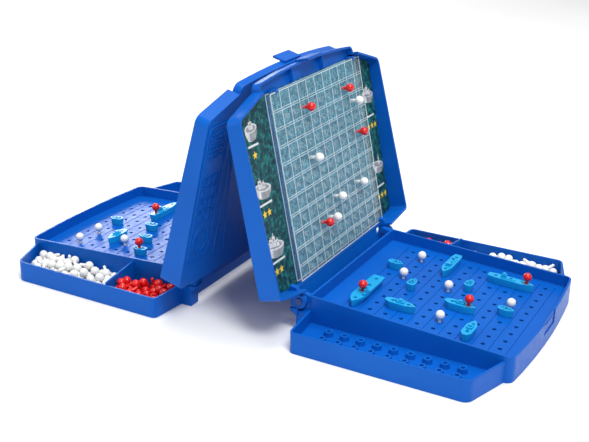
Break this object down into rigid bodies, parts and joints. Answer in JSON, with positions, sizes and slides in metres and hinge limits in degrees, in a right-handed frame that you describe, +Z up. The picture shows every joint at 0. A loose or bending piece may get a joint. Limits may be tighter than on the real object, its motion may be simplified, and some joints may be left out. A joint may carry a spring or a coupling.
{
  "type": "fleet guessing case",
  "caption": "Pair of hinged wedge-shaped game cases: sloped ocean grid, side trays, upright clear target grid, ships and ball-headed pegs.",
  "frame": {"origin": "on the table, under the middle of the pair's bounding box", "axes": "+X from case B to case A across both hinges, +Y toward case A's peg tray, +Z up"},
  "size_m": [0.506, 0.2764, 0.2243],
  "materials": {
    "case_blue": "moulded, satin gloss",
    "pin_navy": "moulded",
    "clear_panel": "clear, polished",
    "printed_card": "printed, silk coated",
    "ship_cyan": "moulded, satin gloss",
    "peg_red": "gloss",
    "peg_white": "gloss"
  },
  "bodies": {
    "case_a": {"base_shell_a": "case_blue", "ocean_white_pegs_a": "peg_white", "tray_red_pegs_a": "peg_red", "tray_white_pegs_a": "peg_white"},
    "lid_a": {"lid_shell_a": "case_blue", "hinge_pins_a": "pin_navy", "target_panel_a": "clear_panel", "backing_card_a": "printed_card", "target_red_pegs_a": "peg_red", "target_white_pegs_a": "peg_white"},
    "ship_carrier_a": {"carrier_a": "ship_cyan", "hit_peg_carrier_a": "peg_red"},
    "ship_cruiser_1_a": {"cruiser_1_a": "ship_cyan", "hit_peg_cruiser_1_a": "peg_red"},
    "ship_cruiser_2_a": {"cruiser_2_a": "ship_cyan"},
    "ship_destroyer_1_a": {"destroyer_1_a": "ship_cyan"},
    "ship_destroyer_2_a": {"destroyer_2_a": "ship_cyan", "hit_peg_destroyer_2_a": "peg_red"},
    "ship_destroyer_3_a": {"destroyer_3_a": "ship_cyan"},
    "ship_patrol_boat_1_a": {"patrol_boat_1_a": "ship_cyan"},
    "ship_patrol_boat_2_a": {"patrol_boat_2_a": "ship_cyan"},
    "ship_patrol_boat_3_a": {"patrol_boat_3_a": "ship_cyan"},
    "ship_patrol_boat_4_a": {"patrol_boat_4_a": "ship_cyan"},
    "case_b": {"base_shell_b": "case_blue", "ocean_white_pegs_b": "peg_white", "tray_red_pegs_b": "peg_red", "tray_white_pegs_b": "peg_white"},
    "lid_b": {"lid_shell_b": "case_blue", "hinge_pins_b": "pin_navy", "target_panel_b": "clear_panel", "backing_card_b": "printed_card", "target_red_pegs_b": "peg_red", "target_white_pegs_b": "peg_white"},
    "ship_carrier_b": {"carrier_b": "ship_cyan"},
    "ship_cruiser_1_b": {"cruiser_1_b": "ship_cyan", "hit_peg_cruiser_1_b": "peg_red"},
    "ship_cruiser_2_b": {"cruiser_2_b": "ship_cyan"},
    "ship_destroyer_1_b": {"destroyer_1_b": "ship_cyan"},
    "ship_destroyer_2_b": {"destroyer_2_b": "ship_cyan"},
    "ship_destroyer_3_b": {"destroyer_3_b": "ship_cyan"},
    "ship_patrol_boat_1_b": {"patrol_boat_1_b": "ship_cyan"},
    "ship_patrol_boat_2_b": {"patrol_boat_2_b": "ship_cyan"},
    "ship_patrol_boat_3_b": {"patrol_boat_3_b": "ship_cyan"},
    "ship_patrol_boat_4_b": {"patrol_boat_4_b": "ship_cyan", "hit_peg_patrol_boat_4_b": "peg_red"}
  },
  "joints": [
    {"name": "lid_hinge_a", "type": "hinge", "parent": "case_a", "child": "lid_a", "pos_m": [0.05515, 0, 0.028], "axis": [0, 1, 0], "range_deg": [0, 94]},
    {"name": "lift_carrier_a", "type": "slide", "parent": "case_a", "child": "ship_carrier_a", "axis": [-0.0519, 0, -0.9987], "range_m": [-0.006, 0]},
    {"name": "lift_cruiser_1_a", "type": "slide", "parent": "case_a", "child": "ship_cruiser_1_a", "axis": [-0.0519, 0, -0.9987], "range_m": [-0.006, 0]},
    {"name": "lift_cruiser_2_a", "type": "slide", "parent": "case_a", "child": "ship_cruiser_2_a", "axis": [-0.0519, 0, -0.9987], "range_m": [-0.006, 0]},
    {"name": "lift_destroyer_1_a", "type": "slide", "parent": "case_a", "child": "ship_destroyer_1_a", "axis": [-0.0519, 0, -0.9987], "range_m": [-0.006, 0]},
    {"name": "lift_destroyer_2_a", "type": "slide", "parent": "case_a", "child": "ship_destroyer_2_a", "axis": [-0.0519, 0, -0.9987], "range_m": [-0.006, 0]},
    {"name": "lift_destroyer_3_a", "type": "slide", "parent": "case_a", "child": "ship_destroyer_3_a", "axis": [-0.0519, 0, -0.9987], "range_m": [-0.006, 0]},
    {"name": "lift_patrol_boat_1_a", "type": "slide", "parent": "case_a", "child": "ship_patrol_boat_1_a", "axis": [-0.0519, 0, -0.9987], "range_m": [-0.006, 0]},
    {"name": "lift_patrol_boat_2_a", "type": "slide", "parent": "case_a", "child": "ship_patrol_boat_2_a", "axis": [-0.0519, 0, -0.9987], "range_m": [-0.006, 0]},
    {"name": "lift_patrol_boat_3_a", "type": "slide", "parent": "case_a", "child": "ship_patrol_boat_3_a", "axis": [-0.0519, 0, -0.9987], "range_m": [-0.006, 0]},
    {"name": "lift_patrol_boat_4_a", "type": "slide", "parent": "case_a", "child": "ship_patrol_boat_4_a", "axis": [-0.0519, 0, -0.9987], "range_m": [-0.006, 0]},
    {"name": "lid_hinge_b", "type": "hinge", "parent": "case_b", "child": "lid_b", "pos_m": [-0.05515, 0, 0.028], "axis": [0, -1, 0], "range_deg": [0, 94]},
    {"name": "lift_carrier_b", "type": "slide", "parent": "case_b", "child": "ship_carrier_b", "axis": [0.0519, 0, -0.9987], "range_m": [-0.006, 0]},
    {"name": "lift_cruiser_1_b", "type": "slide", "parent": "case_b", "child": "ship_cruiser_1_b", "axis": [0.0519, 0, -0.9987], "range_m": [-0.006, 0]},
    {"name": "lift_cruiser_2_b", "type": "slide", "parent": "case_b", "child": "ship_cruiser_2_b", "axis": [0.0519, 0, -0.9987], "range_m": [-0.006, 0]},
    {"name": "lift_destroyer_1_b", "type": "slide", "parent": "case_b", "child": "ship_destroyer_1_b", "axis": [0.0519, 0, -0.9987], "range_m": [-0.006, 0]},
    {"name": "lift_destroyer_2_b", "type": "slide", "parent": "case_b", "child": "ship_destroyer_2_b", "axis": [0.0519, 0, -0.9987], "range_m": [-0.006, 0]},
    {"name": "lift_destroyer_3_b", "type": "slide", "parent": "case_b", "child": "ship_destroyer_3_b", "axis": [0.0519, 0, -0.9987], "range_m": [-0.006, 0]},
    {"name": "lift_patrol_boat_1_b", "type": "slide", "parent": "case_b", "child": "ship_patrol_boat_1_b", "axis": [0.0519, 0, -0.9987], "range_m": [-0.006, 0]},
    {"name": "lift_patrol_boat_2_b", "type": "slide", "parent": "case_b", "child": "ship_patrol_boat_2_b", "axis": [0.0519, 0, -0.9987], "range_m": [-0.006, 0]},
    {"name": "lift_patrol_boat_3_b", "type": "slide", "parent": "case_b", "child": "ship_patrol_boat_3_b", "axis": [0.0519, 0, -0.9987], "range_m": [-0.006, 0]},
    {"name": "lift_patrol_boat_4_b", "type": "slide", "parent": "case_b", "child": "ship_patrol_boat_4_b", "axis": [0.0519, 0, -0.9987], "range_m": [-0.006, 0]},
    {"name": "case_b_slide", "type": "slide", "parent": "case_a", "child": "case_b", "axis": [-1, 0, 0], "range_m": [0, 0.12]}
  ]
}
